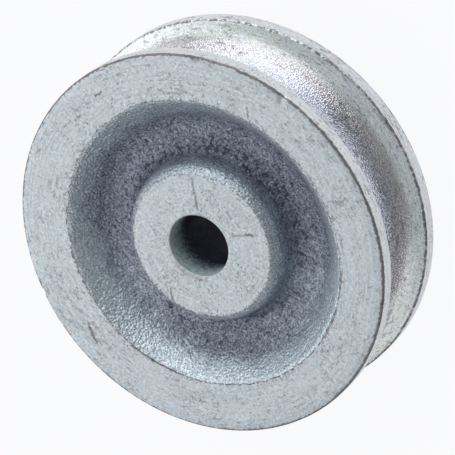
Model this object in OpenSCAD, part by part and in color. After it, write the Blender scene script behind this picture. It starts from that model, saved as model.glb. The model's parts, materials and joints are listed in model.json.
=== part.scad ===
// Grooved wheel, cast in one piece with its web and hub, then turned on the
// lands, the groove and both faces and bored for its axle.  It lies on its
// face: the axle runs along Z and the lower face is at Z = 0.

/* [Rim] */
// Diameter over the lands on both sides of the groove
wheel_d = 50; // [46:0.5:64]
// Width of the rim and of the hub, from face to face
rim_w = 14.3; // [13.2:0.1:18]
// Thickness of the rim at its faces, from the recess's lip out to the land
rim_t = 6.2; // [4.8:0.1:8]
// Break on the two outer corners of the rim
corner_break = 0.3; // [0.1:0.05:0.8]

/* [Groove] */
// Width of the groove at its mouth
groove_w = 10; // [7:0.1:11]
// Depth of the groove below the lands
groove_depth = 5; // [3.4:0.1:6]
// Lean of each flank, measured from a plane square to the axle
flank_lean = 12; // [4:1:20]
// Break on the two edges of the groove's mouth
mouth_break = 0.15; // [0.05:0.05:0.5]

/* [Web] */
// Thickness of the web between the two recesses
web_t = 5.9; // [4:0.1:8]
// Draft on the rim's inner wall
rim_draft = 40; // [5:1:50]
// Fillet between the rim's inner wall and the web
rim_fillet = 3; // [1:0.1:4.8]

/* [Hub] */
// Diameter of the hub at its faces
hub_d = 19; // [15:0.1:21]
// Draft on the hub's wall
hub_draft = 14; // [3:1:20]
// Fillet between the hub's wall and the web
hub_fillet = 1.4; // [0.8:0.1:3.8]

/* [Bore] */
// Diameter of the bore for the axle
bore_d = 8; // [5:0.1:12]
// Break on each mouth of the bore
bore_break = 0.35; // [0.1:0.05:1]

/* [Hidden] */
$fn = 144;
// How far a cutting shape reaches past the surface that it cuts
over = 1;

wheel_r = wheel_d / 2;
lip_r = wheel_r - rim_t;
hub_r = hub_d / 2;
bore_r = bore_d / 2;
recess_depth = (rim_w - web_t) / 2;

// Radius of the groove's root, which both flanks run into without a corner
root_r = (groove_w / 2 * cos(flank_lean) - groove_depth * sin(flank_lean))
    / (1 - sin(flank_lean));
root_centre = wheel_r - groove_depth + root_r;

// Radius from the axle at which a fillet's centre lies, for a wall that
// starts at wall_r on the face and leans away from the hollow by draft.
// side is 1 where the hollow lies inside the wall and -1 where it lies outside.
function fillet_centre(wall_r, fillet, draft, side) =
    wall_r - side * ((recess_depth - fillet) * tan(draft) + fillet / cos(draft));

// Where that fillet runs into its wall, as [radius, depth below the face]
function wall_tangent(wall_r, fillet, draft, side) = [
    fillet_centre(wall_r, fillet, draft, side) + side * fillet * cos(draft),
    recess_depth - fillet * (1 - sin(draft))
];

// The cast and faced disc that everything else is cut from
module blank() {
    rotate_extrude()
        polygon([
            [0, 0],
            [wheel_r - corner_break, 0],
            [wheel_r, corner_break],
            [wheel_r, rim_w - corner_break],
            [wheel_r - corner_break, rim_w],
            [0, rim_w]
        ]);
}

// Section of the groove: two leaning flanks on one full-radius root
module groove_section() {
    flank_r = root_centre - root_r * sin(flank_lean);
    flank_z = root_r * cos(flank_lean);
    mouth_z = groove_w / 2;
    outer_z = mouth_z + over * tan(flank_lean);
    break_r = wheel_r - mouth_break;

    translate([root_centre, 0])
        circle(r = root_r);
    polygon([
        [flank_r, -flank_z],
        [wheel_r + over, -outer_z],
        [wheel_r + over, outer_z],
        [flank_r, flank_z]
    ]);
    polygon([
        [break_r, -mouth_z],
        [wheel_r + over, -mouth_z - mouth_break - over],
        [wheel_r + over, mouth_z + mouth_break + over],
        [break_r, mouth_z]
    ]);
}

// The groove, turned round the middle of the rim
module groove() {
    translate([0, 0, rim_w / 2])
        rotate_extrude()
            groove_section();
}

// Section of one recess, with its depth along Y: a drafted wall on the hub's
// side and one on the rim's side, and a fillet from each down to the web
module recess_section() {
    hub_c = fillet_centre(hub_r, hub_fillet, hub_draft, -1);
    rim_c = fillet_centre(lip_r, rim_fillet, rim_draft, 1);

    translate([hub_c, recess_depth - hub_fillet])
        circle(r = hub_fillet);
    translate([rim_c, recess_depth - rim_fillet])
        circle(r = rim_fillet);
    polygon([
        [hub_r - over * tan(hub_draft), -over],
        wall_tangent(hub_r, hub_fillet, hub_draft, -1),
        [hub_c, recess_depth],
        [rim_c, recess_depth],
        wall_tangent(lip_r, rim_fillet, rim_draft, 1),
        [lip_r + over * tan(rim_draft), -over]
    ]);
}

// The hollow between hub and rim on the lower face
module recess() {
    rotate_extrude()
        recess_section();
}

// The axle's bore, with both mouths broken
module bore() {
    translate([0, 0, -over])
        cylinder(r = bore_r, h = rim_w + 2 * over);
    translate([0, 0, -over])
        bore_mouth();
    translate([0, 0, rim_w + over])
        mirror([0, 0, 1])
            bore_mouth();
}

// The cone that breaks one mouth of the bore
module bore_mouth() {
    cylinder(r1 = bore_r + bore_break + over, r2 = bore_r, h = bore_break + over);
}

// The whole wheel, one casting
module wheel() {
    color([0.76, 0.79, 0.82])
        difference() {
            blank();
            groove();
            recess();
            translate([0, 0, rim_w])
                mirror([0, 0, 1])
                    recess();
            bore();
        }
}

wheel();
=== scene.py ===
"""Dresses a small cast wheel with one round-rooted groove for a studio picture.

The wheel is one iron casting. Its lands, groove, faces and bore are machined
and the two recesses between rim and hub are left as cast. All of it is zinc
plated. It lies on its lower face, with the axle's bore along Z.
"""

import json
import logging
import math
from dataclasses import dataclass, field
from enum import Enum

import bpy
import numpy as np
from mathutils import Matrix, Vector, noise


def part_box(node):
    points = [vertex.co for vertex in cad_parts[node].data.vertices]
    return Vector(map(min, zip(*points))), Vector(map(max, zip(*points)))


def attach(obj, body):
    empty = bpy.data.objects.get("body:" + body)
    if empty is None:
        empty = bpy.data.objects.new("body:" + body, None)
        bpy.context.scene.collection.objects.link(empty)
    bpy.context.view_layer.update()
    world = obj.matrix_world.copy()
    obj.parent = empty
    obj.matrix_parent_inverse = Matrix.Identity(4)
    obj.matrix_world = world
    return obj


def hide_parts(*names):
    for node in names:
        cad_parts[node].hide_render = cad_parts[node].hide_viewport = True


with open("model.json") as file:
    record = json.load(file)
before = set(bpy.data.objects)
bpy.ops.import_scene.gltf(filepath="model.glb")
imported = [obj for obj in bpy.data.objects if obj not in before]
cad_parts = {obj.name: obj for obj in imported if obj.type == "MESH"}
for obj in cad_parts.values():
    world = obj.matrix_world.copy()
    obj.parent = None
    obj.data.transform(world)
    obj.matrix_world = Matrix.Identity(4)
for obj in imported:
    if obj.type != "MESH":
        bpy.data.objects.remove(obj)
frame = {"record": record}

LOG = logging.getLogger("wheel")
MM = 0.001
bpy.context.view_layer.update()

SAME_PLACE = 0.01  # In millimetres: two rows of the section closer than this are one.
SENSOR = 36.0  # Width of the camera's sensor, in millimetres.

Socket = bpy.types.NodeSocket
Colour = tuple[float, float, float]
Pair = tuple[float, float]

WHITE: Colour = (1.0, 1.0, 1.0)


def around(radius: float, turn: float, height: float) -> tuple[float, float, float]:
    """The point at a radius from the axle, an angle from +X in degrees, and a height."""
    turn = math.radians(turn)
    return radius * math.cos(turn), radius * math.sin(turn), height


def toward(turn: float, rise: float) -> Vector:
    """The direction at an angle from +X and a rise above the floor, both in degrees."""
    rise = math.radians(rise)
    return Vector(around(math.cos(rise), turn, math.sin(rise)))


def round_noise(turn: np.ndarray, patches: float, seed: float) -> np.ndarray:
    """Smooth random numbers from about -1 to 1 round the wheel, with patches in a radian."""
    places = zip(np.cos(turn) * patches, np.sin(turn) * patches)
    return np.array([noise.noise(Vector((x, y, seed))) for x, y in places])


class Zone(Enum):
    """The parts of the wheel's skin that differ in how they were made."""

    FACE = 0
    CAST = 1
    LAND = 2
    GROOVE = 3
    BORE = 4


@dataclass(frozen=True)
class WheelSizes:
    """The wheel's own sizes, in millimetres and degrees.

    The outside radius, the width and the bore come from the frame, and the
    others say how the section runs between them.
    """

    outer_r: float
    width: float
    bore_r: float
    lip_r: float = 18.8
    hub_r: float = 9.5
    recess_depth: float = 4.2
    groove_w: float = 10.0
    groove_depth: float = 5.0
    flank_lean: float = 12.0
    corner_break: float = 0.3
    mouth_break: float = 0.15
    bore_break: float = 0.22
    rim_draft: float = 40.0
    rim_fillet: float = 3.0
    hub_draft: float = 9.0
    hub_fillet: float = 1.6
    lip_round: float = 1.6
    lip_slope: float = 26.0
    hub_round: float = 2.0
    hub_slope: float = 32.0

    @classmethod
    def from_frame(cls, record: dict) -> "WheelSizes":
        """Reads the main sizes from the frame.

        Args:
            record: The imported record, which lists the bore among its mounts.

        Returns:
            The sizes of the wheel in the frame.
        """
        low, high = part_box("wheel")
        bore = next(m for m in record["mounts"] if m["name"] == "bore")
        return cls(
            outer_r=(high[0] - low[0]) / 2 / MM,
            width=(high[2] - low[2]) / MM,
            bore_r=bore["dims"]["r_mm"],
        )

    @property
    def root_r(self) -> float:
        """Radius of the groove's root, which both flanks run into.

        Returns:
            The radius in millimetres.
        """
        lean = math.radians(self.flank_lean)
        reach = self.groove_w / 2 * math.cos(lean) - self.groove_depth * math.sin(lean)
        return reach / (1 - math.sin(lean))


@dataclass(frozen=True)
class RowCounts:
    """How many rows of the mesh cross each part of the section.

    Attributes:
        recess_shares: The shares of a recess's rows that its parts get, from the
            hub's rounding over wall, fillet and floor to the rim's rounding.
        hub_pull: How much the hub's rows crowd towards the bore.
        bore_pull: How much the bore's rows crowd towards its upper mouth.
    """

    mouth: int = 4
    hub_face: int = 6
    upper_recess: int = 74
    lower_recess: int = 40
    rim_face: int = 5
    corner: int = 3
    land: int = 4
    flank: int = 3
    root: int = 30
    lower_bore: int = 3
    upper_bore: int = 9
    recess_shares: tuple[float, ...] = (0.06, 0.19, 0.14, 0.13, 0.18, 0.25, 0.05)
    hub_pull: float = 1.4
    bore_pull: float = 0.6


@dataclass
class SectionPath:
    """Half of the wheel's section as a closed path of rows.

    Each row is a ring of the finished mesh. Every strip between two rows
    belongs to one zone.
    """

    radius: list[float] = field(default_factory=list)
    height: list[float] = field(default_factory=list)
    zones: list[Zone] = field(default_factory=list)

    def rows(self) -> tuple[np.ndarray, np.ndarray]:
        """Radius and height of every row."""
        return np.array(self.radius), np.array(self.height)

    def strips(self, zone: Zone) -> np.ndarray:
        """Which strips belong to zone."""
        return np.array([other is zone for other in self.zones])

    def start(self, r: float, z: float) -> None:
        """Puts down the first row at radius r and height z."""
        self.radius.append(r)
        self.height.append(z)

    def line(self, r: float, z: float, rows: int, zone: Zone, pull: float = 1.0) -> None:
        """Runs straight on to a new row.

        Args:
            r: Radius of the last row.
            z: Height of the last row.
            rows: Number of strips along the line.
            zone: What the strips belong to.
            pull: Above 1 the rows crowd at the start, below 1 at the end.
        """
        r0, z0 = self.radius[-1], self.height[-1]
        for step in range(1, rows + 1):
            share = (step / rows) ** pull
            self.radius.append(r0 + (r - r0) * share)
            self.height.append(z0 + (z - z0) * share)
            self.zones.append(zone)

    def arc(self, centre: Pair, r: float, first: float, last: float,
            rows: int, zone: Zone) -> None:
        """Runs on round an arc.

        Args:
            centre: Radius and height of the arc's centre.
            r: The arc's own radius.
            first: Angle of its start in degrees, from outward towards up.
            last: Angle of its end in degrees.
            rows: Number of strips along the arc.
            zone: What the strips belong to.
        """
        for step in range(rows + 1):
            turn = math.radians(first + (last - first) * step / rows)
            if step == 0 and self.radius:
                near = math.hypot(self.radius[-1] - centre[0] - r * math.cos(turn),
                                  self.height[-1] - centre[1] - r * math.sin(turn))
                if near < SAME_PLACE:
                    continue
            self.radius.append(centre[0] + r * math.cos(turn))
            self.height.append(centre[1] + r * math.sin(turn))
            self.zones.append(zone)


@dataclass(frozen=True)
class WallLine:
    """One wall of a recess, as points of radius and height.

    Attributes:
        shoulder: Centre of the rounding under the wall's edge.
        knee: Where the rounding runs into the straight wall.
        foot: Where the straight wall runs into the fillet.
        fillet: Centre of the fillet between wall and floor.
    """

    shoulder: Pair
    knee: Pair
    foot: Pair
    fillet: Pair


@dataclass(frozen=True)
class Dent:
    """A small knock or hollow in the surface.

    Attributes:
        turn: Angle round the axle from +X, in degrees.
        radius: Distance from the axle in millimetres.
        height: Height above the lower face in millimetres.
        reach: How wide the hollow is, in millimetres.
        depth: How deep it goes, in millimetres.
    """

    turn: float
    radius: float
    height: float
    reach: float
    depth: float

    def place(self) -> np.ndarray:
        """The middle of the hollow as a point, in millimetres."""
        return np.array(around(self.radius, self.turn, self.height))


@dataclass(frozen=True)
class Speckle:
    """Random patches on a surface.

    Attributes:
        scale: How many patches lie in a millimetre.
        detail: How many finer layers they have.
        roughness: How strong the finer layers are.
        rings: 0 for round patches. Above 0 they run along the turned rings,
            and this many fit in one radian.
    """

    scale: float
    detail: float = 3.0
    roughness: float = 0.6
    rings: float = 0.0


@dataclass(frozen=True)
class Fade:
    """A soft change from start to end while a number goes from low to high."""

    low: float
    high: float
    start: float = 0.0
    end: float = 1.0


@dataclass(frozen=True)
class Scratch:
    """A thin mark on a flat of the upper side, between two points.

    Attributes:
        start: Radius in millimetres and angle in degrees of one end.
        end: Radius and angle of the other end.
        width: Width of the mark in millimetres.
        shade: How dark it is, from 0 to 1.
        core: Share of the width that has the full shade.
        ragged: How far noise moves the mark's sides, as a share of its width.
    """

    start: Pair
    end: Pair
    width: float
    shade: float
    core: float = 0.2
    ragged: Pair = (-0.4, 0.5)

    def strength(self, bench: "NodeBench", place: Socket, height: float, rag: Socket) -> Socket:
        """How strongly each point is marked.

        Args:
            bench: Where the nodes go.
            place: The point on the wheel, in millimetres.
            height: Height of the flat, in millimetres.
            rag: Numbers about 0.5 that break the mark up.

        Returns:
            0 off the mark, and up to shade on it.
        """
        start, end = Vector(around(*self.start, height)), Vector(around(*self.end, height))
        way = end - start
        offset = bench.vector("SUBTRACT", place, tuple(start))
        share = bench.vector("DOT_PRODUCT", offset, tuple(way / way.length_squared))
        share = bench.math("ADD", share, 0.0, clamp=True)
        gap = bench.vector("LENGTH", bench.vector("MULTIPLY_ADD", share, tuple(-way), offset))
        less, more = (share * self.width for share in self.ragged)
        gap = bench.math("ADD", gap, bench.swing(rag, more, less))
        return bench.fade(gap, Fade(self.width, self.core * self.width, 0.0, self.shade))


class NodeBench:
    """Puts nodes into one material or world and wires them up."""

    noise_range: Pair = (0.3, 0.7)
    lump_smoothness: float = 0.35

    def __init__(self, owner: bpy.types.Material | bpy.types.World) -> None:
        """Empties the tree of a material or world.

        Args:
            owner: The material or world.
        """
        owner.use_nodes = True
        self.owner = owner
        self.tree = owner.node_tree
        self.tree.nodes.clear()

    def node(self, kind: str, **settings: object) -> bpy.types.Node:
        """Adds a node.

        Args:
            kind: Blender's name for the node type.
            settings: Properties to set on it.

        Returns:
            The new node.
        """
        made = self.tree.nodes.new(kind)
        for key, value in settings.items():
            setattr(made, key, value)
        return made

    def feed(self, socket: Socket, value: object) -> None:
        """Wires a value into a socket, or writes it there if it is a plain number or colour.

        Args:
            socket: Where it goes.
            value: A socket, a number or a colour.
        """
        if isinstance(value, bpy.types.NodeSocket):
            self.tree.links.new(value, socket)
        elif isinstance(value, tuple) and len(value) == 3 and socket.type == "RGBA":
            socket.default_value = (*value, 1.0)
        else:
            socket.default_value = value

    def math(self, operation: str, *values: object, clamp: bool = False) -> Socket:
        """Adds a Math node.

        Args:
            operation: Blender's name for what it does.
            values: One to three numbers or sockets.
            clamp: Whether the result is held between 0 and 1.

        Returns:
            The result.
        """
        made = self.node("ShaderNodeMath", operation=operation, use_clamp=clamp)
        for socket, value in zip(made.inputs, values):
            self.feed(socket, value)
        return made.outputs[0]

    def vector(self, operation: str, *values: object) -> Socket:
        """Adds a Vector Math node.

        Args:
            operation: Blender's name for what it does.
            values: One to three vectors or sockets.

        Returns:
            The result, a number for a dot product or a length.
        """
        made = self.node("ShaderNodeVectorMath", operation=operation)
        for socket, value in zip(made.inputs, values):
            self.feed(socket, value)
        return made.outputs["Value" if operation in ("DOT_PRODUCT", "LENGTH") else "Vector"]

    def attribute(self, name: str) -> Socket:
        """The number stored on the mesh under name."""
        return self.node("ShaderNodeAttribute", attribute_name=name).outputs["Fac"]

    def place(self) -> Socket:
        """The point on the wheel, in millimetres."""
        coordinates = self.node("ShaderNodeTexCoord")
        return self.vector("MULTIPLY", coordinates.outputs["Object"], (1 / MM, 1 / MM, 1 / MM))

    def ring_place(self, place: Socket, patches: float) -> Socket:
        """A point that changes quickly across turned rings and slowly round them.

        Args:
            place: The point on the wheel, in millimetres.
            patches: How many patches fit in one radian.

        Returns:
            The point to read noise at.
        """
        parts = self.node("ShaderNodeSeparateXYZ")
        self.feed(parts.inputs[0], place)
        turn = self.math("ARCTAN2", parts.outputs[1], parts.outputs[0])
        joined = self.node("ShaderNodeCombineXYZ")
        self.feed(joined.inputs[0], self.math("MULTIPLY", self.math("COSINE", turn), patches))
        self.feed(joined.inputs[1], self.math("MULTIPLY", self.math("SINE", turn), patches))
        self.feed(joined.inputs[2], self.attribute("along"))
        return joined.outputs[0]

    def noise(self, place: Socket, speckle: Speckle) -> Socket:
        """Adds smooth random numbers.

        Args:
            place: The point on the wheel, in millimetres.
            speckle: The patches that they come in.

        Returns:
            Numbers about 0.5.
        """
        made = self.node("ShaderNodeTexNoise")
        place = self.ring_place(place, speckle.rings) if speckle.rings else place
        self.feed(made.inputs["Vector"], place)
        made.inputs["Scale"].default_value = speckle.scale
        made.inputs["Detail"].default_value = speckle.detail
        made.inputs["Roughness"].default_value = speckle.roughness
        return made.outputs["Fac"]

    def lumps(self, place: Socket, scale: float) -> Socket:
        """Adds a skin of small round lumps.

        Args:
            place: The point on the wheel, in millimetres.
            scale: How many lumps lie in a millimetre.

        Returns:
            Heights from 0 to 1.
        """
        made = self.node("ShaderNodeTexVoronoi", feature="SMOOTH_F1")
        self.feed(made.inputs["Vector"], place)
        made.inputs["Scale"].default_value = scale
        made.inputs["Smoothness"].default_value = self.lump_smoothness
        return self.math("SUBTRACT", 1.0, made.outputs["Distance"])

    def fade(self, value: Socket, fade: Fade) -> Socket:
        """Carries a number through a fade.

        Args:
            value: The number.
            fade: What becomes of it.

        Returns:
            The new number.
        """
        made = self.node("ShaderNodeMapRange", interpolation_type="SMOOTHSTEP")
        self.feed(made.inputs["Value"], value)
        made.inputs["From Min"].default_value = fade.low
        made.inputs["From Max"].default_value = fade.high
        made.inputs["To Min"].default_value = fade.start
        made.inputs["To Max"].default_value = fade.end
        return made.outputs[0]

    def swing(self, noise_value: Socket, most: float, least: float | None = None) -> Socket:
        """Carries most of a noise's range over to least..most, where least is -most if not given."""
        return self.fade(noise_value, Fade(*self.noise_range, -most if least is None else least, most))

    def both(self, first: Socket, first_fade: Fade, second: Socket, second_fade: Fade) -> Socket:
        """Multiplies two faded numbers."""
        return self.math("MULTIPLY", self.fade(first, first_fade), self.fade(second, second_fade))

    def mix(self, share: Socket, first: object, second: object) -> Socket:
        """Mixes two colours.

        Args:
            share: 0 for the first colour, 1 for the second.
            first: A colour or socket.
            second: Another.

        Returns:
            The mixed colour.
        """
        # Inputs 6 and 7 and output 2 are the ones that hold colours.
        made = self.node("ShaderNodeMix", data_type="RGBA")
        self.feed(made.inputs[0], share)
        self.feed(made.inputs[6], first)
        self.feed(made.inputs[7], second)
        return made.outputs[2]

    def bump(self, height: Socket, depth: float, under: Socket | None = None) -> Socket:
        """Turns a height into a tilted normal.

        Args:
            height: Height from 0 to 1.
            depth: What a height of 1 stands for, in millimetres.
            under: A normal that this one is laid over.

        Returns:
            The normal.
        """
        made = self.node("ShaderNodeBump")
        made.inputs["Strength"].default_value = 1.0
        made.inputs["Distance"].default_value = depth * MM
        self.feed(made.inputs["Height"], height)
        if under is not None:
            self.feed(made.inputs["Normal"], under)
        return made.outputs[0]

    def end(self, kind: str, share: Socket, first: bpy.types.Node, second: bpy.types.Node) -> None:
        """Ends the tree as a mix of two shaders.

        Args:
            kind: Blender's name for the output.
            share: 0 for the first shader, 1 for the second.
            first: The node of the first shader.
            second: The node of the second.
        """
        mixed = self.node("ShaderNodeMixShader")
        self.feed(mixed.inputs[0], share)
        self.feed(mixed.inputs[1], first.outputs[0])
        self.feed(mixed.inputs[2], second.outputs[0])
        self.feed(self.node(kind).inputs["Surface"], mixed.outputs[0])

    def metal(self, colour: Socket, roughness: Socket, normal: Socket, haze: float | Socket,
              gloss: float = 0.5) -> bpy.types.Material:
        """Ends the material as a metal under a matt haze.

        Args:
            colour: The metal's colour.
            roughness: Its roughness.
            normal: Its normal.
            haze: Share of the matt haze, from 0 to 1, as a number or a socket.
            gloss: How strongly the haze itself shines.

        Returns:
            The material.
        """
        shader = self.node("ShaderNodeBsdfPrincipled")
        metallic = 1.0 - haze if isinstance(haze, float) else self.math("SUBTRACT", 1.0, haze)
        self.feed(shader.inputs["Metallic"], metallic)
        self.feed(shader.inputs["Specular IOR Level"], gloss)
        self.feed(shader.inputs["Base Color"], colour)
        self.feed(shader.inputs["Roughness"], roughness)
        self.feed(shader.inputs["Normal"], normal)
        self.feed(self.node("ShaderNodeOutputMaterial").inputs["Surface"], shader.outputs[0])
        return self.owner


@dataclass(frozen=True)
class TurnedZinc:
    """Zinc on a turned surface: fine rings, dark flecks and brown where an edge wore through.

    A surface with lumps is smooth near its edges. Further in it is grainy, with painted
    shade in the hollows, and turns from rose to a painted blue that stands in for the
    dark reflection deep in the groove. All depths and heights are in millimetres.
    """

    name: str
    colour: Colour
    shade: Colour
    tint: Colour
    roughness: Fade = Fade(0.3, 0.75, 0.50, 0.36)
    haze: float = 0.45
    ring_depth: float = 0.004
    mottle_depth: float = 0.010
    grit_depth: float = 0.008
    lump_depth: float = 0.0
    lumps_per_mm: float = 5.3
    scratches: tuple[Scratch, ...] = ()
    face_height: float = 0.0
    dulled: float = 0.3
    ragged: float = 0.10

    # Colours of the details.
    ring_grey: Colour = (0.2, 0.21, 0.24)
    lump_rose: Colour = (0.97, 0.95, 0.97)
    # Painted reflection: the blue deep in the groove; painted shade: the dark in the lumps' hollows.
    painted_deep_blue: Colour = (0.86, 0.90, 1.0)
    hollow_painted_shade: Colour = (0.06, 0.06, 0.15)
    streak_grey: Colour = (0.24, 0.25, 0.28)
    speck_grey: Colour = (0.19, 0.20, 0.21)
    rust_brown: Colour = (0.20, 0.155, 0.135)
    worn_brown: Colour = (0.105, 0.085, 0.095)
    scratch_brown: Colour = (0.09, 0.06, 0.055)

    # The random patches that the details come in.
    rings: Speckle = Speckle(4.5, 2.0, rings=1.0)
    clouds: Speckle = Speckle(0.35)
    mottle: Speckle = Speckle(2.6, roughness=0.65)
    grit: Speckle = Speckle(4.5, roughness=0.65)
    patches: Speckle = Speckle(0.22, 2.0, 0.5)
    streaks: Speckle = Speckle(2.4, rings=9.0)
    specks: Speckle = Speckle(3.4, 2.0, 0.65)
    rust: Speckle = Speckle(5.2, roughness=0.7)
    breaks: Speckle = Speckle(2.0, 4.0, 0.65, rings=22.0)

    # How far each detail shows, from the number it hangs on.
    mottle_fade: Fade = Fade(0.35, 0.7)
    cloud_fade: Fade = Fade(0.42, 0.66, 0.0, 0.7)
    ring_fade: Fade = Fade(0.28, 0.55, 0.26, 0.0)
    inner_fade: Fade = Fade(2.5, 3.3)
    painted_blue_fade: Fade = Fade(2.9, 4.3)
    hollow_fade: Fade = Fade(0.66, 0.46, 0.0, 0.46)
    streak_fade: Fade = Fade(0.55, 0.71, 0.0, 0.68)
    speck_fade: Fade = Fade(0.29, 0.405, 0.8, 0.0)
    rust_fade: Fade = Fade(0.30, 0.37, 0.64, 0.0)
    more_streaks: Fade = Fade(0.35, 0.65, -0.04, 0.05)
    more_specks: Fade = Fade(0.35, 0.65, 0.03, -0.03)
    more_by_edge: Fade = Fade(1.4, 0.0, 0.0, 0.035)
    worn_fade: Fade = Fade(-0.09, 0.06, 0.0, 0.75)
    seam_breaks: Fade = Fade(0.38, 0.66, -0.10, 0.18)
    seam_fade: Fade = Fade(-0.12, 0.03, 0.0, 0.7)

    def material(self) -> bpy.types.Material:
        """Builds the finish.

        Returns:
            The material.
        """
        bench = NodeBench(bpy.data.materials.new(self.name))
        place = bench.place()
        rings = bench.noise(place, self.rings)
        clouds = bench.noise(place, self.clouds)
        mottle = bench.noise(place, self.mottle)
        grit = bench.noise(place, self.grit)
        colour = bench.mix(bench.fade(mottle, self.mottle_fade), self.shade, self.colour)
        colour = bench.mix(bench.fade(clouds, self.cloud_fade), colour, self.tint)
        colour = bench.mix(bench.fade(rings, self.ring_fade), colour, self.ring_grey)
        normal = bench.bump(mottle, self.mottle_depth)
        if self.lump_depth > 0:
            colour, normal = self.lumps(bench, colour, normal, place)
        colour = self.flecks(bench, colour, place)
        dull = self.worn_edges(bench, place)
        colour = bench.mix(dull, colour, self.worn_brown)
        for scratch in self.scratches:
            mark = scratch.strength(bench, place, self.face_height, grit)
            colour = bench.mix(mark, colour, self.scratch_brown)
            dull = bench.math("MAXIMUM", dull, mark)
        roughness = bench.math("MULTIPLY_ADD", dull, self.dulled, bench.fade(mottle, self.roughness))
        normal = bench.bump(grit, self.grit_depth, normal)
        normal = bench.bump(rings, self.ring_depth, normal)
        return bench.metal(colour, roughness, normal, self.haze)

    def lumps(self, bench: NodeBench, colour: Socket, normal: Socket,
              place: Socket) -> tuple[Socket, Socket]:
        """Lays a skin of fine lumps over the inner part, with painted shade and painted blue.

        Args:
            bench: Where the nodes go.
            colour: The colour under them.
            normal: The normal under them.
            place: The point on the wheel.

        Returns:
            The colour and the normal with the lumps.
        """
        depth = bench.attribute("depth")
        inner = bench.fade(depth, self.inner_fade)
        lumps = bench.lumps(place, self.lumps_per_mm)
        normal = bench.bump(bench.math("MULTIPLY", lumps, inner), self.lump_depth, normal)
        # Painted reflection: rose by the edges, blue deeper in.
        rose_to_painted_blue = bench.mix(bench.fade(depth, self.painted_blue_fade), self.lump_rose, self.painted_deep_blue)
        colour = bench.mix(inner, colour, rose_to_painted_blue)
        # Painted shade in the hollows between the lumps.
        hollows = bench.math("MULTIPLY", bench.fade(lumps, self.hollow_fade), inner)
        return bench.mix(hollows, colour, self.hollow_painted_shade), normal

    def flecks(self, bench: NodeBench, colour: Socket, place: Socket) -> Socket:
        """Lays short dark streaks along the rings, grey specks and a few brown ones.

        Args:
            bench: Where the nodes go.
            colour: The colour under them.
            place: The point on the wheel.

        Returns:
            The colour with the flecks.
        """
        patches = bench.noise(place, self.patches)
        more = bench.fade(patches, self.more_streaks)
        streaks = bench.math("ADD", bench.noise(place, self.streaks), more)
        colour = bench.mix(bench.fade(streaks, self.streak_fade), colour, self.streak_grey)
        by_edge = bench.fade(bench.attribute("seam"), self.more_by_edge)
        more = bench.fade(patches, self.more_specks)
        specks = bench.math("ADD", bench.noise(place, self.specks), more)
        specks = bench.math("SUBTRACT", specks, by_edge)
        colour = bench.mix(bench.fade(specks, self.speck_fade), colour, self.speck_grey)
        rust = bench.math("SUBTRACT", bench.noise(place, self.rust), by_edge)
        return bench.mix(bench.fade(rust, self.rust_fade), colour, self.rust_brown)

    def worn_edges(self, bench: NodeBench, place: Socket) -> Socket:
        """Finds where the plating wore off the edges.

        Args:
            bench: Where the nodes go.
            place: The point on the wheel.

        Returns:
            How bare the metal is, from 0 to 1.
        """
        breaks = bench.noise(place, self.breaks)
        spread = bench.math("ADD", bench.swing(breaks, self.ragged), bench.attribute("wear"))
        corner = bench.math("SUBTRACT", spread, bench.attribute("corner"))
        seam = bench.math("SUBTRACT", bench.fade(breaks, self.seam_breaks), bench.attribute("seam"))
        return bench.math("MAXIMUM", bench.fade(corner, self.worn_fade), bench.fade(seam, self.seam_fade))


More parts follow.
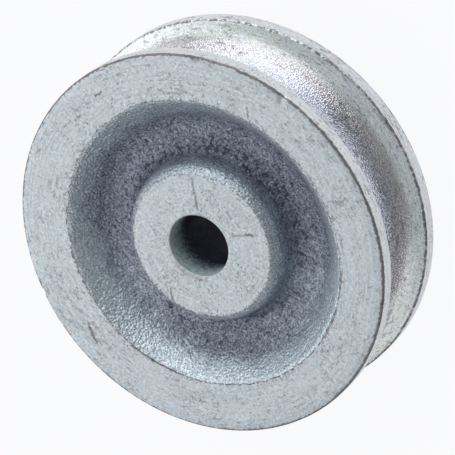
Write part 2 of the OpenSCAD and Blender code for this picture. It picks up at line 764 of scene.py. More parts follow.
@dataclass(frozen=True)
class CastZinc:
    """Zinc on the rough skin of the casting: bright by the edges, dull and dark on the floor.

    The dark floor is partly the skin's own dull colour and partly painted shade of the recess.
    All depths and heights are in millimetres.
    """

    name: str
    wall: Colour
    floor: Colour
    pit_and_painted_shade: Colour
    blot: Colour = (0.03, 0.03, 0.045)
    lumps_per_mm: float = 2.8
    lump_depth: float = 0.09
    grain_depth: float = 0.07
    grit_depth: float = 0.056
    grain_share: float = 0.35
    foot_blots: float = 0.09
    # Painted shade in the crease at the hub's foot, as a share of the pit colour.
    foot_painted_shade: float = 0.3
    cloud_swing: float = 0.4
    roughness_swing: float = -0.07
    dark_spots: tuple[Scratch, ...] = ()
    floor_height: float = 0.0

    # The random patches that the details come in.
    fine: Speckle = Speckle(2.6)
    blots: Speckle = Speckle(1.5, 2.0)
    clouds: Speckle = Speckle(0.4, 2.0, 0.5)
    grit: Speckle = Speckle(4.2, roughness=0.75)

    # How far each detail shows, from the number it hangs on.
    # Depth over which the wall colour turns to the floor colour, partly painted shade.
    floor_fade: Fade = Fade(0.0, 4.3)
    foot_fade: Fade = Fade(2.2, 0.4)
    fine_fade: Fade = Fade(0.25, 0.75)
    hollow_fade: Fade = Fade(1.0, -0.1)
    hollow_share: Fade = Fade(0.0, 1.0, 0.2, 0.5)
    blot_fade: Fade = Fade(0.42, 0.30, 0.0, 0.85)
    blot_depth: Fade = Fade(2.4, 3.6)
    pepper_fade: Fade = Fade(0.60, 0.36)
    pepper_share: Fade = Fade(0.0, 1.0, 0.5, 0.9)
    roughness: Fade = Fade(0.0, 1.0, 0.24, 0.52)
    haze: Fade = Fade(0.0, 1.0, 0.42, 0.5)

    def material(self) -> bpy.types.Material:
        """Builds the finish.

        Returns:
            The material.
        """
        bench = NodeBench(bpy.data.materials.new(self.name))
        place = bench.place()
        fine = bench.noise(place, self.fine)
        grit = bench.noise(place, self.grit)
        clouds = bench.swing(bench.noise(place, self.clouds), self.cloud_swing)
        sunk = bench.math("ADD", bench.attribute("depth"), clouds)
        # Painted highlight and shade by angle: the walls' bright colour reaches deeper, or less deep.
        sunk = bench.math("SUBTRACT", sunk, bench.attribute("sheen"))
        foot = bench.fade(bench.attribute("foot"), self.foot_fade)
        # Partly painted shade: darker from the walls towards the floor, with depth.
        floor_and_painted_shade = bench.fade(sunk, self.floor_fade)
        colour = bench.mix(floor_and_painted_shade, self.wall, self.floor)
        grain = bench.math("MULTIPLY", bench.attribute("grain"), self.grain_share)
        height = bench.math("ADD", grain, bench.fade(fine, self.fine_fade))
        hollows = bench.both(height, self.hollow_fade, floor_and_painted_shade, self.hollow_share)
        colour = bench.mix(hollows, colour, self.pit_and_painted_shade)
        # Painted shade: darkens the ring at the hub's foot.
        colour = bench.mix(bench.math("MULTIPLY", foot, self.foot_painted_shade), colour, self.pit_and_painted_shade)
        more = bench.math("MULTIPLY", foot, self.foot_blots)
        blots = bench.math("SUBTRACT", bench.noise(place, self.blots), more)
        blots = bench.both(blots, self.blot_fade, sunk, self.blot_depth)
        colour = bench.mix(blots, colour, self.blot)
        pepper = bench.both(grit, self.pepper_fade, floor_and_painted_shade, self.pepper_share)
        colour = bench.mix(pepper, colour, self.pit_and_painted_shade)
        # Darkens the floor at each listed spot.
        for spot in self.dark_spots:
            dark = spot.strength(bench, place, self.floor_height, fine)
            colour = bench.mix(dark, colour, self.blot)
        uneven = bench.swing(fine, self.roughness_swing)
        roughness = bench.math("ADD", bench.fade(floor_and_painted_shade, self.roughness), uneven)
        normal = bench.bump(bench.lumps(place, self.lumps_per_mm), self.lump_depth)
        normal = bench.bump(fine, self.grain_depth, normal)
        normal = bench.bump(grit, self.grit_depth, normal)
        return bench.metal(colour, roughness, normal, bench.fade(floor_and_painted_shade, self.haze))


@dataclass(frozen=True)
class DrilledBore:
    """The bore's wall: thin dull zinc over drill rings, with painted shade that darkens it deeper in."""

    name: str
    colour: Colour
    shade_and_mottle_colour: Colour
    mottle_depth: float = 0.02
    ring_depth: float = 0.01
    ragged: float = 0.4
    gloss: float = 0.1
    rings: Speckle = Speckle(3.0, 2.0, rings=2.0)
    mottle: Speckle = Speckle(2.0)
    painted_shade_fade: Fade = Fade(0.1, 4.4)
    mottle_fade: Fade = Fade(0.4, 0.7, 0.0, 0.3)
    roughness: Fade = Fade(0.3, 0.7, 0.45, 0.6)
    haze: Fade = Fade(0.2, 3.0, 0.75, 1.0)

    def material(self) -> bpy.types.Material:
        """Builds the finish.

        Returns:
            The material.
        """
        bench = NodeBench(bpy.data.materials.new(self.name))
        place = bench.place()
        rings = bench.noise(place, self.rings)
        mottle = bench.noise(place, self.mottle)
        sunk = bench.math("ADD", bench.attribute("depth"), bench.swing(mottle, self.ragged))
        # Painted shade: darker the further the wall lies from either mouth.
        colour = bench.mix(bench.fade(sunk, self.painted_shade_fade), self.colour, self.shade_and_mottle_colour)
        colour = bench.mix(bench.fade(mottle, self.mottle_fade), colour, self.shade_and_mottle_colour)
        normal = bench.bump(mottle, self.mottle_depth)
        normal = bench.bump(rings, self.ring_depth, normal)
        roughness = bench.fade(rings, self.roughness)
        return bench.metal(colour, roughness, normal, bench.fade(sunk, self.haze), self.gloss)


@dataclass(frozen=True)
class RaggedEdge:
    """How an edge of the wheel strays from its circle.

    Attributes:
        patches: How fine the rag is, as patches in one radian.
        height: How far it strays, in millimetres.
        seed: Picks the line.
        reach: How far from the edge it dies out, in millimetres.
        steep: How suddenly it does so.
    """

    patches: float
    height: float
    seed: float
    reach: float
    steep: float = 2.0

    def stray(self, turn: np.ndarray, gap: np.ndarray) -> np.ndarray:
        """How far out each point moves, by its angle and its gap from the edge."""
        share = np.exp(-((gap / self.reach) ** self.steep))
        return share * self.height * round_noise(turn, self.patches, self.seed)


@dataclass
class WheelCasting:
    """The one-piece wheel: its mesh, with grain and run-out, and its finishes.

    Attributes:
        sizes: The wheel's sizes.
        columns: Points in one ring of the mesh.
        rows: Rows across each part of the section.
        grain_height: Height of the casting's grain, in millimetres.
        grain_coarse: Patches a millimetre and strength of its coarse part.
        grain_fine: The same of its fine part.
        fine_seed: Sets the fine grain apart from the coarse one.
        lower_seed: Sets the lower recess's grain apart from the upper one's.
        lip_shift: How far the lip runs out of true, in millimetres, and at what angle.
        hub_shift: The same for the hub's edge.
        lip_wave: The long waves of the lip.
        lip_rag: The short rag of the lip.
        hub_rag: The rag of the hub's edge.
        mouth_rag: The rag of the bore's mouths.
        rag_uneven: How much rougher the lip is on its ragged side.
        worn_side: Angle at which the outer corners wore most.
        stained_side: Angle at which the recess's edges are stained most.
        ragged_side: Angle at which the lip is roughest.
        corner_inset: How far in the middle of a worn outer corner lies.
        mouth_inset: The same for the corners of the groove's mouth.
        corners_spared: How much less the outer and the mouth corners wore, upper before lower.
        corner_wear: How far every outer corner wore back, in millimetres.
        corner_wear_more: How much further it wore on the worn side.
        corner_wear_waves: How unevenly it wore, in how many patches a radian, and the
            number that picks them.
        seam_spared: How far every recess's edge is spared, in millimetres.
        seam_stained: How much wider its stain is on the stained side.
        foot_out: How far out of its edge the hub's foot lies, in millimetres.
        sharp_bend: From how many degrees a corner is left sharp.
        painted_light_sides: Angle, spread and depth of a painted highlight on the walls; below 0, painted
            shade.
        dents: Knocks and hollows.
        scratches: Marks on the upper faces.
        edge_marks: Marks on the upper land.
        dark_spots: Dark spots on the upper recess's floor.
    """

    sizes: WheelSizes
    columns: int = 480
    rows: RowCounts = RowCounts()
    grain_height: float = 0.035
    grain_coarse: Pair = (1.1, 0.9)
    grain_fine: Pair = (2.3, 1.3)
    fine_seed: tuple[float, float, float] = (7.0, 3.0, 5.0)
    lower_seed: float = 50.0
    lip_shift: Pair = (0.50, -94.0)
    hub_shift: Pair = (0.34, -122.0)
    lip_wave: RaggedEdge = RaggedEdge(4.7, 0.16, 11.0, 3.0, 1.0)
    lip_rag: RaggedEdge = RaggedEdge(22.56, 0.15, 23.0, 0.35)
    hub_rag: RaggedEdge = RaggedEdge(30.08, 0.03, 37.0, 0.3)
    mouth_rag: RaggedEdge = RaggedEdge(15.04, 0.044, 51.0, 0.3)
    rag_uneven: float = 0.75
    worn_side: float = -150.0
    stained_side: float = 110.0
    ragged_side: float = 60.0
    corner_inset: float = 0.08
    mouth_inset: float = 0.04
    corners_spared: tuple[float, float, float, float] = (0.0, 0.08, 0.14, 0.05)
    corner_wear: float = 0.17
    corner_wear_more: float = 0.07
    corner_wear_waves: tuple[float, float, float] = (0.05, 4.0, 3.0)
    seam_spared: float = 0.05
    seam_stained: float = 0.17
    foot_out: float = 1.2
    sharp_bend: float = 25.0
    # Painted highlight and shade by angle: lobes that carry the cast walls' bright colour deeper, or less
    # deep.
    painted_light_sides: tuple[tuple[float, float, float], ...] = (
        (88.0, 34.0, 1.4), (-160.0, 34.0, 1.25), (-30.0, 40.0, 0.25), (35.0, 26.0, -0.5),
    )
    dents: tuple[Dent, ...] = ()
    scratches: tuple[Scratch, ...] = ()
    edge_marks: tuple[Scratch, ...] = ()
    dark_spots: tuple[Scratch, ...] = ()

    def build(self) -> bpy.types.Object:
        """Makes the wheel and dresses it.

        Returns:
            The finished piece.
        """
        path = self.section()
        points, layers = self.skin(path)
        piece = self.mesh(path, points)
        for name, values in layers.items():
            values = np.broadcast_to(values, points.shape[:2])
            layer = piece.data.attributes.new(name, "FLOAT", "POINT")
            layer.data.foreach_set("value", values.astype(np.float32).ravel())
        for finish in self.finishes():
            piece.data.materials.append(finish.material())
        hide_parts("wheel")
        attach(piece, "root")
        return piece

    def finishes(self) -> tuple[TurnedZinc | CastZinc | DrilledBore, ...]:
        """Lists the finishes.

        Returns:
            The finish of each zone, in the order of Zone.
        """
        top = self.sizes.width
        face = TurnedZinc(
            "zinc_on_turned_face", (0.64, 0.70, 0.755), (0.48, 0.535, 0.59), (0.565, 0.62, 0.655),
            scratches=self.scratches, face_height=top,
        )
        cast = CastZinc(
            # Wall, floor and pit colours of the cast skin; the floor's dark is partly painted shade.
            "zinc_on_cast_skin", (0.76, 0.88, 0.96), (0.405, 0.46, 0.56), (0.045, 0.055, 0.085),
            dark_spots=self.dark_spots, floor_height=top - self.sizes.recess_depth,
        )
        land = TurnedZinc(
            "zinc_on_lands", (0.82, 0.85, 0.88), (0.70, 0.73, 0.77), (0.76, 0.80, 0.81),
            haze=0.25, scratches=self.edge_marks, face_height=top,
        )
        groove = TurnedZinc(
            "zinc_in_groove", (0.82, 0.85, 0.86), (0.65, 0.685, 0.70), (0.78, 0.84, 0.78),
            roughness=Fade(0.3, 0.75, 0.30, 0.16), haze=0.10,
            ring_depth=0.012, mottle_depth=0.016, grit_depth=0.02, lump_depth=0.040,
        )
        # The bore's colour by its mouths, then its painted shade deep inside.
        bore = DrilledBore("zinc_in_bore", (0.56, 0.69, 0.74), (0.018, 0.022, 0.055))
        return face, cast, land, groove, bore

    def section(self) -> SectionPath:
        """Lays the rows along the section, from the upper hub face out and round.

        Returns:
            The closed path.
        """
        s = self.sizes
        path = SectionPath()
        path.start(s.bore_r, s.width - s.bore_break)
        self.upper_side(path, self.rows.upper_recess)
        self.groove(path)
        lower = SectionPath()
        lower.start(s.bore_r, s.width - s.bore_break)
        self.upper_side(lower, self.rows.lower_recess)
        for r, z in zip(reversed(lower.radius[:-1]), reversed(lower.height[:-1])):
            path.radius.append(r)
            path.height.append(s.width - z)
        path.zones.extend(reversed(lower.zones))
        path.line(s.bore_r, s.width / 2, self.rows.lower_bore, Zone.BORE)
        path.line(s.bore_r, s.width - s.bore_break, self.rows.upper_bore, Zone.BORE, self.rows.bore_pull)
        path.radius.pop()
        path.height.pop()
        return path

    def upper_side(self, path: SectionPath, recess_rows: int) -> None:
        """Adds the rows from the bore's mouth over hub, recess and rim to the land's edge.

        Args:
            path: The path that gets the rows.
            recess_rows: Number of rows for the whole recess.
        """
        s, rows = self.sizes, self.rows
        top = s.width
        mouth = (s.bore_r + s.bore_break, top - s.bore_break)
        path.arc(mouth, s.bore_break, 180, 90, rows.mouth, Zone.FACE)
        path.line(s.hub_r, top, rows.hub_face, Zone.FACE, rows.hub_pull)
        counts = [max(2, round(recess_rows * share)) for share in rows.recess_shares]
        hub_edge, hub_wall, hub_foot, floor, rim_foot, rim_wall, rim_edge = counts
        hub = self.wall(s.hub_r, s.hub_round, s.hub_slope, s.hub_draft, s.hub_fillet, -1)
        rim = self.wall(s.lip_r, s.lip_round, s.lip_slope, s.rim_draft, s.rim_fillet, 1)
        path.arc(hub.shoulder, s.hub_round, 90 - s.hub_slope, s.hub_draft, hub_edge, Zone.CAST)
        path.line(*hub.foot, hub_wall, Zone.CAST)
        path.arc(hub.fillet, s.hub_fillet, 180 + s.hub_draft, 270, hub_foot, Zone.CAST)
        path.line(rim.fillet[0], top - s.recess_depth, floor, Zone.CAST)
        path.arc(rim.fillet, s.rim_fillet, -90, -s.rim_draft, rim_foot, Zone.CAST)
        path.line(*rim.knee, rim_wall, Zone.CAST)
        path.arc(rim.shoulder, s.lip_round, 180 - s.rim_draft, 90 + s.lip_slope, rim_edge, Zone.CAST)
        corner = (s.outer_r - s.corner_break, top - s.corner_break)
        path.line(corner[0], top, rows.rim_face, Zone.FACE)
        path.arc(corner, s.corner_break, 90, 0, rows.corner, Zone.LAND)
        path.line(s.outer_r, (top + s.groove_w) / 2 + s.mouth_break, rows.land, Zone.LAND)

    def wall(self, edge_r: float, rounding: float, slope: float, draft: float, fillet: float,
             side: int) -> WallLine:
        """Works out one wall of the upper recess, from its rounded edge to the floor.

        Args:
            edge_r: Radius of the wall's edge on the face.
            rounding: Radius of the rounding under that edge.
            slope: How steeply the surface sets off at the edge, in degrees.
            draft: Lean of the wall from upright, in degrees.
            fillet: Radius of the fillet at its foot.
            side: 1 where the hollow lies inside the wall, -1 where outside.

        Returns:
            The wall's centres and joints.
        """
        s = self.sizes
        top, floor = s.width, s.width - s.recess_depth
        set_off, lean = math.radians(slope), math.radians(draft)
        shoulder = (edge_r + side * rounding * math.sin(set_off), top - rounding * math.cos(set_off))
        knee = (shoulder[0] - side * rounding * math.cos(lean), shoulder[1] + rounding * math.sin(lean))
        foot_z = floor + fillet * (1 - math.sin(lean))
        foot = (knee[0] - side * (knee[1] - foot_z) * math.tan(lean), foot_z)
        return WallLine(shoulder, knee, foot, (foot[0] - side * fillet * math.cos(lean), floor + fillet))

    def groove(self, path: SectionPath) -> None:
        """Adds the groove's rows, from the upper land's edge to the lower one's.

        Args:
            path: The path that gets the rows.
        """
        s, rows = self.sizes, self.rows
        middle, half = s.width / 2, s.groove_w / 2
        lean = math.radians(s.flank_lean)
        inner = s.outer_r - s.mouth_break
        flank = half - s.mouth_break * math.tan(lean)
        centre = (s.outer_r - s.groove_depth + s.root_r, middle)
        path.line(inner, middle + flank, 1, Zone.LAND)
        path.line(centre[0] - s.root_r * math.sin(lean), middle + s.root_r * math.cos(lean),
                  rows.flank, Zone.GROOVE)
        path.arc(centre, s.root_r, 90 + s.flank_lean, 270 - s.flank_lean, rows.root, Zone.GROOVE)
        path.line(inner, middle - flank, rows.flank, Zone.GROOVE)
        path.line(s.outer_r, middle - half - s.mouth_break, 1, Zone.LAND)

    def skin(self, path: SectionPath) -> tuple[np.ndarray, dict[str, np.ndarray]]:
        """Carries the section round the axle, roughens the cast parts and sinks the dents.

        Args:
            path: The section's rows.

        Returns:
            The points, one row of them per row of the section, and by name what
            the finishes read at each of them.
        """
        s = self.sizes
        r, z = path.rows()
        turn = np.arange(self.columns) * 2 * math.pi / self.columns
        is_cast = path.strips(Zone.CAST)
        inside = is_cast & np.roll(is_cast, 1)
        seams = is_cast ^ np.roll(is_cast, 1)
        moved = (inside | seams)[:, None]

        out_r, out_z = self.outward(r, z)
        grain = self.grain(path, turn, inside)
        lift = grain * self.grain_height
        big_r = r[:, None] + lift * out_r[:, None]
        big_r += self.ragged_edges(path, turn, moved)
        x = big_r * np.cos(turn)
        y = big_r * np.sin(turn)
        share = np.clip((r - s.hub_r) / (s.lip_r - s.hub_r), 0, 1)[:, None]
        for shift, weight in ((self.lip_shift, share), (self.hub_shift, 1 - share)):
            way = around(*shift, 0.0)
            x += np.where(moved, weight * way[0], 0)
            y += np.where(moved, weight * way[1], 0)
        x, y = self.spread_faces(path, x, y, seams)

        points = np.stack([x, y, z[:, None] + lift * out_z[:, None]], -1)
        for dent in self.dents:
            gap = np.linalg.norm(points - dent.place(), axis=-1)
            sink = dent.depth * np.exp(-((gap / dent.reach) ** 2) * 2)
            points[..., 0] -= sink * out_r[:, None] * np.cos(turn)
            points[..., 1] -= sink * out_r[:, None] * np.sin(turn)
            points[..., 2] -= sink * out_z[:, None]
        sides = np.minimum(points[..., 2], s.width - points[..., 2])
        layers = {
            "grain": grain,
            "along": self.ring_distance(path, np.hypot(x, y)),
            "depth": np.clip(sides, 0, None),
            "corner": self.corner_distance(r, z)[:, None],
            "seam": self.seam_distance(points, turn, seams),
            "wear": self.wear(turn),
            "sheen": self.sheen(turn),
            "foot": np.abs(r - s.hub_r - self.foot_out)[:, None],
        }
        return points, layers

    def outward(self, r: np.ndarray, z: np.ndarray) -> tuple[np.ndarray, np.ndarray]:
        """Finds the direction out of the metal at each row.

        Args:
            r: Radius of each row.
            z: Height of each row.

        Returns:
            The directions' parts along the radius and along the axle.
        """
        step_r = np.roll(r, -1) - np.roll(r, 1)
        step_z = np.roll(z, -1) - np.roll(z, 1)
        size = np.hypot(step_r, step_z)
        return -step_z / size, step_r / size

    def grain(self, path: SectionPath, turn: np.ndarray, inside: np.ndarray) -> np.ndarray:
        """Works out the casting's grain.

        Args:
            path: The section's rows.
            turn: Angle of each column.
            inside: Which rows lie in a recess.

        Returns:
            About -1 to 1 at the points in a recess, and 0 elsewhere.
        """
        r, z = path.rows()
        made = np.zeros((len(r), self.columns))
        for row in np.flatnonzero(inside):
            seed = 0.0 if z[row] > self.sizes.width / 2 else self.lower_seed
            for column, (x, y) in enumerate(zip(r[row] * np.cos(turn), r[row] * np.sin(turn))):
                made[row, column] = self.grain_at(Vector((x, y, z[row] + seed)))
        return made

    def grain_at(self, place: Vector) -> float:
        """Reads the grain at one place.

        Args:
            place: The place, in millimetres.

        Returns:
            A height from about -1 to 1.
        """
        coarse, coarse_share = self.grain_coarse
        fine, fine_share = self.grain_fine
        made = coarse_share * noise.noise(place * coarse)
        return made + fine_share * noise.noise(place * fine + Vector(self.fine_seed))

    def ragged_edges(self, path: SectionPath, turn: np.ndarray, moved: np.ndarray) -> np.ndarray:
        """Roughens the edges of the recesses and of the bore's mouths.

        Args:
            path: The section's rows.
            turn: Angle of each column.
            moved: Which rows belong to a recess or its edge.

        Returns:
            How far out each point moves, in millimetres.
        """
        s = self.sizes
        r, z = path.rows()
        from_side = np.minimum(z, s.width - z)
        from_lip, from_hub, from_mouth = (
            np.hypot(r - edge, from_side)[:, None] for edge in (s.lip_r, s.hub_r, s.bore_r)
        )
        uneven = 1 + self.rag_uneven * np.cos(turn - math.radians(self.ragged_side))
        wave = self.lip_rag.stray(turn, from_lip) * uneven + self.lip_wave.stray(turn, from_lip)
        wave += self.hub_rag.stray(turn, from_hub)
        return np.where(moved, wave, 0) + self.mouth_rag.stray(turn, from_mouth)

    def spread_faces(self, path: SectionPath, x: np.ndarray, y: np.ndarray,
                     seams: np.ndarray) -> tuple[np.ndarray, np.ndarray]:
        """Spaces the rows of each flat face evenly between its moved edge and its fixed one.

        Args:
            path: The section's rows.
            x: Points' x, one row per row of the section.
            y: Points' y.
            seams: Which rows are the moved edge of a face.

        Returns:
            The new x and y.
        """
        is_face = path.strips(Zone.FACE)
        radius = path.radius
        for row in np.flatnonzero(seams):
            way = 1 if is_face[row] else -1
            far = row
            while is_face[far if way > 0 else far - 1]:
                far += way
            for middle in range(row + way, far, way):
                share = (radius[middle] - radius[row]) / (radius[far] - radius[row])
                x[middle] = x[row] + (x[far] - x[row]) * share
                y[middle] = y[row] + (y[far] - y[row]) * share
        return x, y

    def ring_distance(self, path: SectionPath, spread: np.ndarray) -> np.ndarray:
        """Places each point across the turned rings, which stay true circles on the faces.

        Args:
            path: The section's rows.
            spread: Each point's distance from the axle, in millimetres.

        Returns:
            The distances along the section, in millimetres.
        """
        r, z = path.rows()
        along = np.concatenate(([0.0], np.cumsum(np.hypot(np.diff(r), np.diff(z)))))[:, None]
        on_face = path.strips(Zone.FACE)
        on_face = (on_face | np.roll(on_face, 1))[:, None]
        way = np.where(z > self.sizes.width / 2, 1.0, -1.0)[:, None]
        return along + np.where(on_face, (spread - r[:, None]) * way, 0)

    def corner_distance(self, r: np.ndarray, z: np.ndarray) -> np.ndarray:
        """How far each row lies from the nearest turned corner, in millimetres.

        A corner that wore less than the others counts as a little further away.

        Args:
            r: Radius of each row.
            z: Height of each row.

        Returns:
            One distance for each row.
        """
        s = self.sizes
        outer, mouth = s.outer_r - self.corner_inset, s.outer_r - self.mouth_inset
        corners = (
            (outer, s.width - self.corner_inset), (outer, self.corner_inset),
            (mouth, (s.width + s.groove_w) / 2), (mouth, (s.width - s.groove_w) / 2),
        )
        gaps = [np.hypot(r - at_r, z - at_z) for at_r, at_z in corners]
        return np.min(np.add(gaps, np.array(self.corners_spared)[:, None]), axis=0)

    def seam_distance(self, points: np.ndarray, turn: np.ndarray, seams: np.ndarray) -> np.ndarray:
        """How far each point lies from the nearest edge of a cast recess, in millimetres.

        Args:
            points: The wheel's points.
            turn: Angle of each column.
            seams: Which rows are such an edge.

        Returns:
            The distances, less where the edge is stained wide.
        """
        gaps = [np.linalg.norm(points - points[row], axis=-1) for row in np.flatnonzero(seams)]
        stained = 0.5 + 0.5 * np.cos(turn - math.radians(self.stained_side))
        return np.min(gaps, axis=0) + self.seam_spared - self.seam_stained * stained

    def wear(self, turn: np.ndarray) -> np.ndarray:
        """How far the plating wore back from the outer corners.

        Args:
            turn: Angles round the axle.

        Returns:
            How far it wore at each angle, in millimetres.
        """
        near_worn_side = 0.5 + 0.5 * np.cos(turn - math.radians(self.worn_side))
        height, patches, seed = self.corner_wear_waves
        waves = height * round_noise(turn, patches, seed)
        return self.corner_wear + self.corner_wear_more * near_worn_side ** 3 + waves

    def sheen(self, turn: np.ndarray) -> np.ndarray:
        """How much deeper a painted highlight carries the walls' bright colour; below 0, painted shade.

        Args:
            turn: Angles round the axle.

        Returns:
            How much deeper at each angle, in millimetres.
        """
        reach = np.zeros_like(turn)
        for angle, spread, deeper in self.painted_light_sides:
            gap = (np.degrees(turn) - angle + 180) % 360 - 180
            reach += deeper * np.exp(-((gap / spread) ** 2))
        return reach

    def mesh(self, path: SectionPath, points: np.ndarray) -> bpy.types.Object:
        """Joins the points into one closed mesh.

        Args:
            path: The section's rows, for their zones.
            points: The points, in millimetres.

        Returns:
            The new object.
        """
        rows, columns = points.shape[:2]
        index = np.arange(rows * columns).reshape(rows, columns)
        here, round_ = index, np.roll(index, -1, 1)
        on, on_round = np.roll(index, -1, 0), np.roll(np.roll(index, -1, 0), -1, 1)
        quads = np.stack([here, on, on_round, round_], -1).reshape(-1, 4)
        mesh = bpy.data.meshes.new("wheel_casting")
        mesh.vertices.add(rows * columns)
        mesh.vertices.foreach_set("co", (points * MM).astype(np.float32).ravel())
        mesh.loops.add(quads.size)
        mesh.loops.foreach_set("vertex_index", quads.astype(np.int32).ravel())
        mesh.polygons.add(len(quads))
        mesh.polygons.foreach_set("loop_start", np.arange(0, quads.size, 4, dtype=np.int32))
        slots = np.repeat([zone.value for zone in path.zones], columns)
        mesh.polygons.foreach_set("material_index", slots.astype(np.int32))
        mesh.polygons.foreach_set("use_smooth", np.ones(len(quads), bool))
        mesh.update(calc_edges=True)
        self.sharpen(mesh, path, columns)
        piece = bpy.data.objects.new("wheel_casting", mesh)
        bpy.context.scene.collection.objects.link(piece)
        return piece

    def sharpen(self, mesh: bpy.types.Mesh, path: SectionPath, columns: int) -> None:
        """Marks as sharp the rings where the section turns a corner.

        Args:
            mesh: The mesh to mark.
            path: The section's rows, for their zones.
            columns: Number of points in one ring.
        """
        r, z = path.rows()
        heading = np.arctan2(np.roll(z, -1) - z, np.roll(r, -1) - r)
        bend = np.abs((heading - np.roll(heading, 1) + math.pi) % (2 * math.pi) - math.pi)
        sharp_row = bend > math.radians(self.sharp_bend)
        ends = np.empty(len(mesh.edges) * 2, np.int32)
        mesh.edges.foreach_get("vertices", ends)
        first, second = ends.reshape(-1, 2).T // columns
        sharp = (first == second) & sharp_row[first]
        mesh.edges.foreach_set("use_edge_sharp", sharp)


@dataclass(frozen=True)
class Softbox:
    """A flat soft lamp that looks at the wheel.

    Attributes:
        name: The lamp's name.
        turn: Angle round the wheel from +X, in degrees.
        rise: Height above the floor, as an angle in degrees.
        distance: Distance from the wheel in metres.
        size: Width and height in metres.
        watts: Power.
    """

    name: str
    turn: float
    rise: float
    distance: float
    size: Pair
    watts: float

    def build(self, target: Vector) -> bpy.types.Object:
        """Hangs the lamp.

        Args:
            target: The point it faces.

        Returns:
            The lamp.
        """
        data = bpy.data.lights.new(self.name, "AREA")
        data.shape = "RECTANGLE"
        data.size, data.size_y = self.size
        data.energy = self.watts
        lamp = bpy.data.objects.new(self.name, data)
        way = toward(self.turn, self.rise)
        lamp.location = target + way * self.distance
        lamp.rotation_euler = way.to_track_quat("Z", "Y").to_euler()
        bpy.context.scene.collection.objects.link(lamp)
        return lamp


@dataclass(frozen=True)
class Studio:
    """A pale floor, soft lamps and even light from all round.

    Attributes:
        boxes: The lamps.
        sky_strength: Strength of the even light.
        floor_half: Half the floor's side, in metres.
        floor_gap: How far it lies below the wheel, in metres.
        floor_colour: Its own colour, which takes the shadow.
        glow_colour: The colour it shows unshaded.
        glow_share: How much of that the camera and reflections see.
    """

    boxes: tuple[Softbox, ...]
    sky_strength: float = 0.24
    floor_half: float = 1.5
    floor_gap: float = 0.00002
    floor_colour: Colour = (0.86, 0.86, 0.87)
    glow_colour: Colour = (0.975, 0.977, 0.99)
    glow_share: float = 0.95

    def build(self, target: Vector) -> None:
        """Sets up the floor, the lamps and the sky.

        Args:
            target: The point that the lamps face, in metres.
        """
        self.floor()
        for box in self.boxes:
            box.build(target)
        self.world()
        bpy.context.scene.view_settings.view_transform = "Standard"

    def floor(self) -> bpy.types.Object:
        """Lays the floor, pale where the camera or a reflection sees it unshaded.

        It lies a hair below the wheel, so that the two faces don't coincide.

        Returns:
            The floor.
        """
        half, under = self.floor_half, -self.floor_gap
        mesh = bpy.data.meshes.new("floor")
        corners = [(-half, -half, under), (half, -half, under), (half, half, under), (-half, half, under)]
        mesh.from_pydata(corners, [], [(0, 1, 2, 3)])
        bench = NodeBench(bpy.data.materials.new("pale_floor"))
        matt = bench.node("ShaderNodeBsdfDiffuse")
        bench.feed(matt.inputs["Color"], self.floor_colour)
        glow = bench.node("ShaderNodeEmission")
        bench.feed(glow.inputs["Color"], self.glow_colour)
        ray = bench.node("ShaderNodeLightPath")
        seen = bench.math("MULTIPLY", ray.outputs["Is Camera Ray"], self.glow_share)
        mirrored = bench.math("MULTIPLY", ray.outputs["Is Glossy Ray"], self.glow_share)
        share = bench.math("MAXIMUM", seen, mirrored)
        bench.end("ShaderNodeOutputMaterial", share, matt, glow)
        mesh.materials.append(bench.owner)
        floor = bpy.data.objects.new("floor", mesh)
        bpy.context.scene.collection.objects.link(floor)
        return floor

    def world(self) -> bpy.types.World:
        """Lights the room evenly, with white behind the wheel.

        Returns:
            The world.
        """
        world = bpy.data.worlds.new("studio")
        bench = NodeBench(world)
        sky = bench.node("ShaderNodeBackground")
        bench.feed(sky.inputs["Color"], WHITE)
        bench.feed(sky.inputs["Strength"], self.sky_strength)
        white = bench.node("ShaderNodeBackground")
        bench.feed(white.inputs["Color"], WHITE)
        ray = bench.node("ShaderNodeLightPath")
        bench.end("ShaderNodeOutputWorld", ray.outputs["Is Camera Ray"], sky, white)
        bpy.context.scene.world = world
        return world


@dataclass(frozen=True)
class Viewpoint:
    """The camera: a long lens that looks down on the wheel, rolled to one side.

    Attributes:
        turn: Angle round the wheel from +X, in degrees.
        rise: Angle above the floor, in degrees.
        roll: Turn of the picture, in degrees.
        distance: Distance from the middle of the upper face, in millimetres.
        lens: Focal length on a sensor 36 mm wide.
        aside: How far the upper face's middle lies right and up of the
            picture's middle, as shares of the picture's width.
    """

    turn: float = -90.0
    rise: float = 53.0
    roll: float = 129.8
    distance: float = 445.0
    lens: float = 288.6
    aside: Pair = (-0.0635, -0.0409)

    def build(self, target: Vector) -> bpy.types.Object:
        """Places the camera.

        Args:
            target: Middle of the wheel's upper face, in metres.

        Returns:
            The camera.
        """
        back = toward(self.turn, self.rise)
        right = Vector((0, 0, 1)).cross(back).normalized()
        up = back.cross(right)
        roll = math.radians(self.roll)
        rolled_right = right * math.cos(roll) - up * math.sin(roll)
        rolled_up = right * math.sin(roll) + up * math.cos(roll)
        data = bpy.data.cameras.new("camera")
        data.lens = self.lens
        data.sensor_width = SENSOR
        reach = self.distance * MM
        width = reach * SENSOR / self.lens
        place = target + back * reach
        place -= rolled_right * self.aside[0] * width + rolled_up * self.aside[1] * width
        camera = bpy.data.objects.new("camera", data)
        turned = Matrix((rolled_right, rolled_up, back)).transposed().to_4x4()
        camera.matrix_world = Matrix.Translation(place) @ turned
        bpy.context.scene.collection.objects.link(camera)
        bpy.context.scene.camera = camera
        return camera


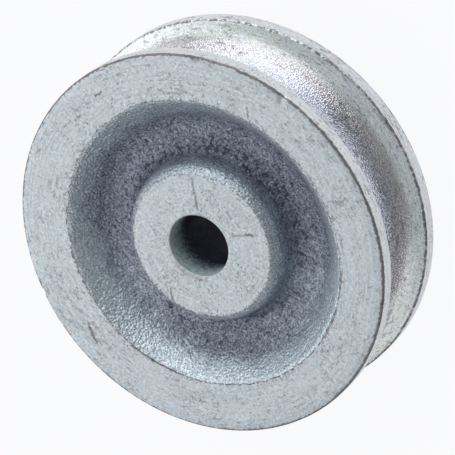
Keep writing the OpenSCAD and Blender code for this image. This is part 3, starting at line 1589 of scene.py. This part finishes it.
def main() -> None:
    """Builds the wheel, the studio and the camera in turn."""
    logging.basicConfig(level=logging.INFO, format="%(name)s: %(message)s")
    sizes = WheelSizes.from_frame(frame["record"])
    wheel = WheelCasting(
        sizes,
        dents=(
            Dent(-73.3, 25.0, sizes.width, 0.55, 0.45),
            Dent(70.9, 25.0, sizes.width, 0.45, 0.35),
            Dent(-141.0, 25.0, 1.2, 0.6, 0.30),
        ),
        scratches=(
            Scratch((20.8, -64.7), (19.6, -66.3), 0.18, 0.5),
            Scratch((8.9, -40.3), (5.1, -44.0), 0.24, 0.5),
            Scratch((5.2, -108.6), (8.6, -114.2), 0.20, 0.4),
            Scratch((7.1, -111.5), (7.9, -113.2), 0.30, 0.6),
            Scratch((7.9, 104.0), (9.1, 110.0), 0.20, 0.6),
            Scratch((21.2, 85.6), (22.2, 92.9), 0.20, 0.6),
            Scratch((21.5, 87.5), (22.1, 91.5), 0.30, 0.6),
            Scratch((22.2, -6.6), (22.2, -9.4), 0.26, 0.65),
            Scratch((19.5, -132.5), (19.3, -138.0), 0.15, 0.65),
            Scratch((19.3, -138.0), (19.25, -144.0), 0.13, 0.65),
            Scratch((19.3, -149.0), (19.2, -155.0), 0.18, 0.5),
            Scratch((19.2, -155.0), (19.15, -162.0), 0.26, 0.5),
            Scratch((18.62, 103.0), (18.5, 113.0), 0.32, 0.6),
            Scratch((18.5, 113.0), (18.4, 124.0), 0.36, 0.6),
            Scratch((4.5, 84.0), (4.6, 104.0), 0.45, 0.25),
            Scratch((4.6, 108.0), (4.5, 136.0), 0.50, 0.25),
        ),
        edge_marks=(
            Scratch((24.7, -73.4), (25.0, -73.0), 0.55, 0.9),
        ),
        # Dark spots on the floor near the hub's foot.
        dark_spots=(
            Scratch((12.6, 104.0), (13.3, 106.0), 0.45, 0.8),
            Scratch((12.3, -95.0), (12.6, -97.0), 0.40, 0.7),
        ),
    )
    piece = wheel.build()
    LOG.info("wheel casting: %d triangles", 2 * len(piece.data.polygons))
    top = Vector((0, 0, sizes.width * MM))
    studio = Studio(boxes=(
        Softbox("key", -32.0, 17.0, 0.6, (0.8, 0.48), 1.9),
        Softbox("high", -20.0, 53.0, 0.6, (0.5, 0.36), 0.6),
        Softbox("back", 60.0, 18.0, 0.6, (0.9, 0.48), 1.25),
        Softbox("back_high", 70.0, 53.0, 0.6, (0.55, 0.36), 0.75),
        Softbox("side", 145.0, 40.0, 0.6, (0.5, 0.5), 0.5),
    ))
    studio.build(top)
    LOG.info("studio: %d lamps", len(studio.boxes))
    Viewpoint().build(top)
    LOG.info("camera placed")


if __name__ == "__main__":
    main()
